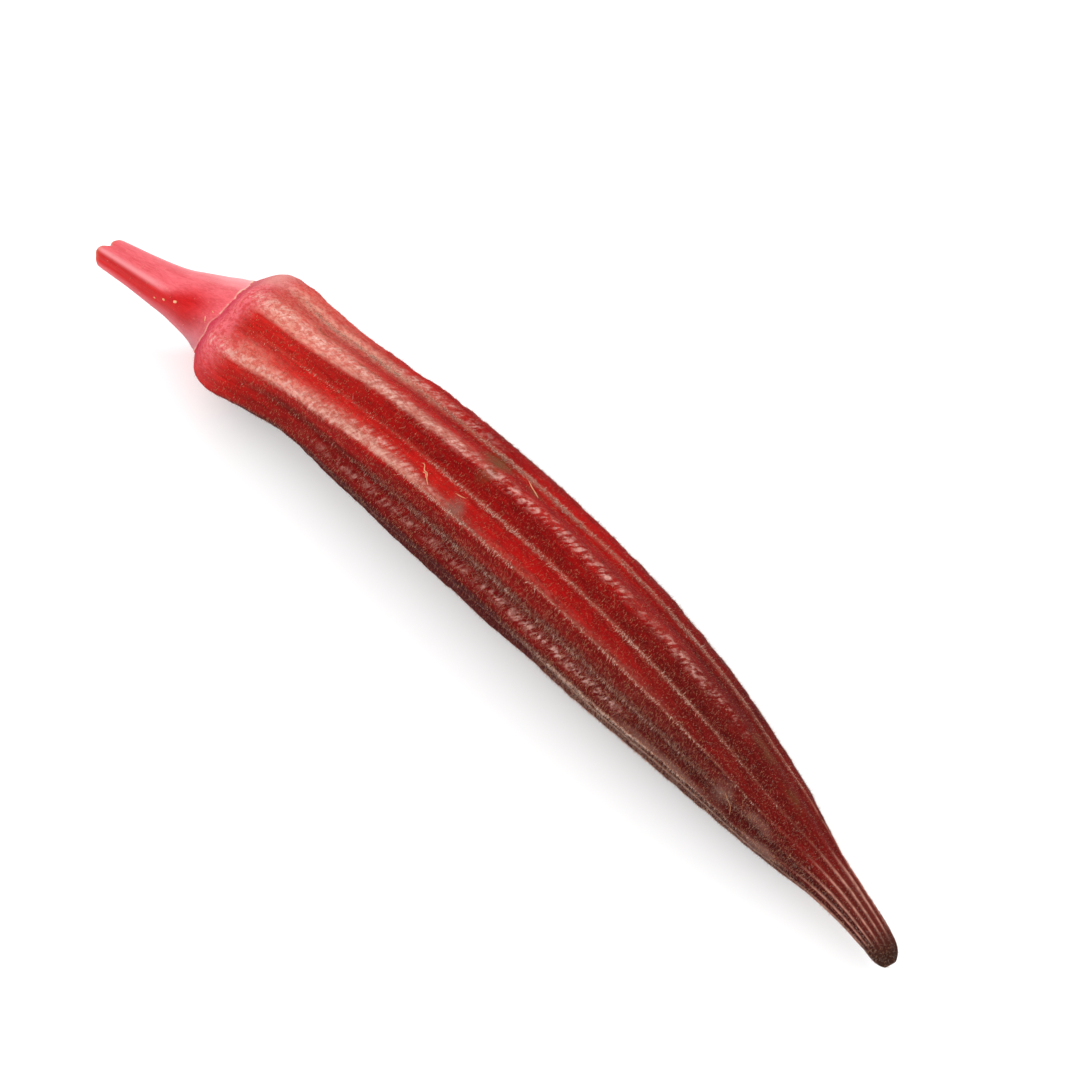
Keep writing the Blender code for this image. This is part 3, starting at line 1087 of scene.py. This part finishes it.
def stalk_material(mottle, grain, cap_scar):
    """Smooth satin stalk and cap: coral pink above as the lit side and deep red on one face as painted shade,
    with a painted sheen, painted shade low on the side and faint specks.
    """
    material, nodes, shader = new_material("stalk_skin", 0.38)
    grown = nodes.grown()
    shaded_red = nodes.share("shaded_red")
    streaks = nodes.stretched(grown, (0.22, 1.6, 1.6))
    clouds = nodes.placed(mottle, Vector=streaks, Cloud_Scale=0.5, Speck_Scale=3.0, Speck_Share=0.5)
    # Coral is the lit copy of the deep red: painted light on the upper side, and painted shade on the face
    # turned down.
    lit_coral = nodes.mix(clouds, "B4343C", "CC545C")
    shaded_deep_red = nodes.mix(clouds, "9C0608", "BA1214")
    # Painted sheen, greyer low on the side.
    painted_sheen = nodes.times(nodes.share("painted_sheen"), 0.8)
    sideways = nodes.part(grown, "Z")
    painted_sheen_colour = nodes.mix(nodes.between(sideways, -2.0, -4.2), "CC7C80", "A86870")
    sheen_painted = nodes.mix(painted_sheen, nodes.mix(shaded_red, lit_coral, shaded_deep_red), painted_sheen_colour)
    # Painted shade low on the side of the stalk.
    low_side_shade = nodes.times(nodes.between(sideways, -2.0, -4.5), 0.22)
    deep = nodes.mix(low_side_shade, sheen_painted, "4C0A10")
    cut_edge = nodes.mix(nodes.times(along_mask(nodes, 1.3, 0.0), 0.6), deep, "B0502C")
    specks = nodes.between(nodes.noise(grown, 2.4, 2.0, 0.4), 0.70, 0.76)
    specked = nodes.mix(nodes.times(specks, 0.35), cut_edge, "D08868")
    connect(nodes, scarred(nodes, cap_scar, grown, specked), shader, "Base Color")
    connect(nodes, nodes.between(shaded_red, 0.0, 1.0, 0.35, 0.12), shader, "Specular IOR Level")
    grain_on(nodes, shader, grain, cell_scale=4.0, crease_share=0.3, strength=0.3, depth=0.1 * MM)
    return material


def pod_material(mottle, grain, cap_scar):
    """Downy pod skin: pink shoulder and crests, partly painted highlight; saturated red sides with painted
    light and painted shade on the flanks; dull maroon towards the tip.
    """
    material, nodes, shader = new_material("pod_skin", 0.4)
    grown = nodes.grown()
    streaks = nodes.stretched(grown, (0.16, 1.0, 1.0))
    clouds = nodes.placed(mottle, Vector=streaks, Cloud_Scale=0.4, Speck_Scale=3.2, Speck_Share=0.55)
    bright = nodes.mix(clouds, "8C0C08", "B41A14")
    red = nodes.mix(clouds, "660202", "9A0605")
    dull = nodes.mix(clouds, "460403", "6A100C")
    # Painted light: the flank that faces the light stays the brighter red.
    off_lit_flank = nodes.scaled(nodes.share("lit_flank"), 1.0, 0.15)
    deepening = nodes.times(along_mask(nodes, 34, 62), off_lit_flank)
    body = nodes.mix(along_mask(nodes, 88, 120), nodes.mix(deepening, bright, red), dull)
    neck = nodes.mix(along_mask(nodes, 142, 151), body, "541A14")
    patchy = nodes.between(nodes.noise(nodes.stretched(grown, (0.7, 1.0, 1.0)), 1.5, 5.0, 0.75), 0.42, 0.57)
    # Pale pink, partly the skin's own and partly painted highlight.
    pink_patchy = nodes.times(nodes.share("pink"), nodes.scaled(patchy, 0.45, 1.0))
    shoulder_pink = nodes.mix(along_mask(nodes, 25, 32), "C65C62", "C47E70")
    pink_colour = nodes.mix(along_mask(nodes, 40, 52), shoulder_pink, "AE7264")
    pinkened = nodes.mix(pink_patchy, neck, pink_colour)
    # Painted sheen carried past the seam on the upper side.
    upper_side = nodes.between(nodes.part(grown, "Z"), 0.0, 3.0)
    upper_painted_sheen = nodes.times(nodes.share("painted_sheen"), upper_side)
    painted_sheen = nodes.times(upper_painted_sheen, along_mask(nodes, 30.5, 24))
    sheen_painted = nodes.mix(nodes.times(painted_sheen, 0.75), pinkened, "BC8078")
    crimson_share = nodes.times(along_mask(nodes, 24.0, 21.4), 0.65)
    crimson = nodes.mix(crimson_share, sheen_painted, "A0203C")
    # Painted shade from the shade mask, over the brown groove's own colour.
    painted_shade = nodes.mix(nodes.times(nodes.share("shade"), 0.9), crimson, "2A0504")
    # Pale wear and painted highlight on the crests; the same mask also lowers the roughness and raises the
    # specular level.
    patchy_wear_highlight = nodes.times(wear_highlight_streaks(nodes, grown), nodes.scaled(patchy, 0.35, 1.0))
    rubbed = nodes.times(nodes.share("wear_highlight"), patchy_wear_highlight)
    wear_highlighted = nodes.mix(nodes.times(rubbed, 0.75), painted_shade, "BC8070")
    # The lines' own pale colour, paler on the neck as a painted highlight on its raised lines.
    line_colour = nodes.mix(along_mask(nodes, 138, 148), "A66C5A", "CC9482")
    broken_line = nodes.times(nodes.share("line"), nodes.scaled(patchy, 0.35, 0.70))
    pale_line = nodes.mix(broken_line, wear_highlighted, line_colour)
    weathering = nodes.noise(grown, 0.6, 4.0, 0.65)
    stain_patch = nodes.between(nodes.times(nodes.share("stain"), weathering), 0.08, 0.50)
    stained = nodes.mix(nodes.times(stain_patch, 0.85), pale_line, "5C3A20")
    grey_patch = nodes.between(nodes.times(nodes.share("grey"), weathering), 0.08, 0.50)
    greyed = nodes.mix(nodes.times(grey_patch, 0.65), stained, "705046")
    tip = nodes.mix(along_mask(nodes, 153.5, 159.0), greyed, "301A12")
    connect(nodes, scarred(nodes, cap_scar, grown, tip), shader, "Base Color")
    connect(nodes, nodes.between(rubbed, 0.0, 0.8, 0.6, 0.30), shader, "Roughness")
    connect(nodes, nodes.between(rubbed, 0.0, 0.8, 0.04, 0.70), shader, "Specular IOR Level")
    grain_on(nodes, shader, grain, cell_scale=2.6, crease_share=0.65, strength=0.8, depth=0.3 * MM)
    return material


def cut_material(mottle):
    """The dried cut: brown-red rim, pale fibrous ring, cream pith."""
    material, nodes, shader = new_material("cut_face", 0.7)
    grown = nodes.grown()
    across = nodes.stretched(grown, (0.0, 1.0, 1.0))
    from_middle = nodes.add("ShaderNodeVectorMath", {0: across}, operation="LENGTH").outputs["Value"]
    clouds = nodes.placed(mottle, Vector=grown, Cloud_Scale=1.0, Speck_Scale=5.0, Speck_Share=0.5)
    pith = nodes.mix(clouds, "9C8A62", "B8A880")
    fibre = nodes.mix(nodes.between(from_middle, 0.9, 1.4), pith, "8E7A50")
    rim = nodes.mix(nodes.between(from_middle, 1.5, 2.0), fibre, "84402A")
    connect(nodes, rim, shader, "Base Color")
    return material


def hair_colour_group():
    """Each hair a little different, and paler towards its tip."""
    nodes, given, result = new_group("hair_colour", (
        ("Vector", VECTOR, None),
        ("Outward", NUMBER, 0.0),
        ("Root Color", COLOUR, None),
        ("Tip Color", COLOUR, None),
    ), "Color", COLOUR)
    each = nodes.between(nodes.noise(given["Vector"], 2.5), 0.3, 0.7, -0.35, 0.35)
    share = nodes.maths("ADD", given["Outward"], each, clamp=True)
    return nodes.joined(nodes.mix(share, given["Root Color"], given["Tip Color"]), result)


def down_material(name, hair_colour, root, tip):
    material, nodes, shader = new_material(name, 0.5, Specular_IOR_Level=0.3)
    shown = nodes.placed(hair_colour, Vector=nodes.grown(), Outward=nodes.share("outward"),
                         Root_Color=root, Tip_Color=tip)
    connect(nodes, shown, shader, "Base Color")
    return material


def cork_material(mottle, grain):
    """Dry golden cork in uneven lighter and darker clouds, with a rough grain."""
    material, nodes, shader = new_material("cork", 0.7, Specular_IOR_Level=0.3)
    clouds = nodes.placed(mottle, Vector=nodes.grown(), Cloud_Scale=2.0, Speck_Scale=8.0, Speck_Share=0.4)
    connect(nodes, nodes.mix(clouds, "B67C52", "DAA47E"), shader, "Base Color")
    grain_on(nodes, shader, grain, cell_scale=9.0, crease_share=0.3, strength=0.5, depth=0.1 * MM)
    return material


# ------------ floor, light and camera

FLOOR_SIZE = 6
FLOOR_WHITE = 0.90
ROOM_LIGHT = 1.25


def pale_floor():
    bpy.ops.mesh.primitive_plane_add(size=FLOOR_SIZE, location=(0, 0, 0))
    floor = bpy.context.object
    floor.name = "floor"
    material, _, shader = new_material("floor_white", 0.9)
    shader.inputs["Base Color"].default_value = (FLOOR_WHITE, FLOOR_WHITE, FLOOR_WHITE, 1)
    shader.inputs["Specular IOR Level"].default_value = 0.0
    floor.data.materials.append(material)


def softbox(name, towards, distance, size, power):
    """A rectangular area light, out in this direction from the pod and facing it."""
    data = bpy.data.lights.new(name, "AREA")
    data.shape = "RECTANGLE"
    data.size, data.size_y = size
    data.energy = power
    light = bpy.data.objects.new(name, data)
    light.location = Vector(towards).normalized() * distance
    light.rotation_euler = (-light.location).to_track_quat("-Z", "Y").to_euler()
    bpy.context.scene.collection.objects.link(light)


def studio_light():
    softbox("key_light", (-0.26, 0.60, 0.75), 0.75, (0.26, 0.17), 2.2)
    softbox("side_light", (-0.26, -0.80, 0.54), 0.9, (0.20, 0.16), 2.4)
    world = bpy.data.worlds.new("studio")
    world.use_nodes = True
    background = world.node_tree.nodes["Background"]
    background.inputs["Color"].default_value = (1, 1, 1, 1)
    background.inputs["Strength"].default_value = ROOM_LIGHT
    bpy.context.scene.world = world
    bpy.context.scene.view_settings.view_transform = "Standard"


CAMERA_AZIMUTH = math.radians(43.94)
CAMERA_ELEVATION = math.radians(68)
CAMERA_DISTANCE = 303.9 * MM
CAMERA_TARGET = (1.95 * MM, 4.91 * MM, 10 * MM)
CAMERA_LENS = 70
CAMERA_SENSOR = 36
CAMERA_NEAREST = 10 * MM


def camera():
    data = bpy.data.cameras.new("camera")
    data.lens = CAMERA_LENS
    data.sensor_width = CAMERA_SENSOR
    data.clip_start = CAMERA_NEAREST
    back = Vector((
        math.sin(CAMERA_AZIMUTH) * math.cos(CAMERA_ELEVATION),
        -math.cos(CAMERA_AZIMUTH) * math.cos(CAMERA_ELEVATION),
        math.sin(CAMERA_ELEVATION),
    ))
    viewer = bpy.data.objects.new("camera", data)
    viewer.location = Vector(CAMERA_TARGET) + back * CAMERA_DISTANCE
    viewer.rotation_euler = back.to_track_quat("Z", "Y").to_euler()
    bpy.context.scene.collection.objects.link(viewer)
    bpy.context.scene.camera = viewer


# ------------ making it

def main():
    camera()
    pale_floor()
    studio_light()
    mottle = mottle_group()
    grain = skin_grain_group()
    cap_scar = cap_scar_group()
    pod = okra_skin()
    pod.data.materials.append(stalk_material(mottle, grain, cap_scar))
    pod.data.materials.append(pod_material(mottle, grain, cap_scar))
    pod.data.materials.append(cut_material(mottle))
    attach(pod, "root")
    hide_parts("okra_pod")
    hair_colour = hair_colour_group()
    finishes = {name: down_material(name, hair_colour, *ends) for name, ends in DOWN_COLOURS.items()}
    cork = cork_material(mottle, grain)
    for name, count, seed, weight, shape, length, thickness, stand, finish in DOWN:
        hairs(name, count, seed, weight, shape, length * MM, thickness * MM, stand, finishes[finish])
    for name, width, height, path in CORK_MARKS:
        mark(name, path, width * MM, height * MM, cork)


main()
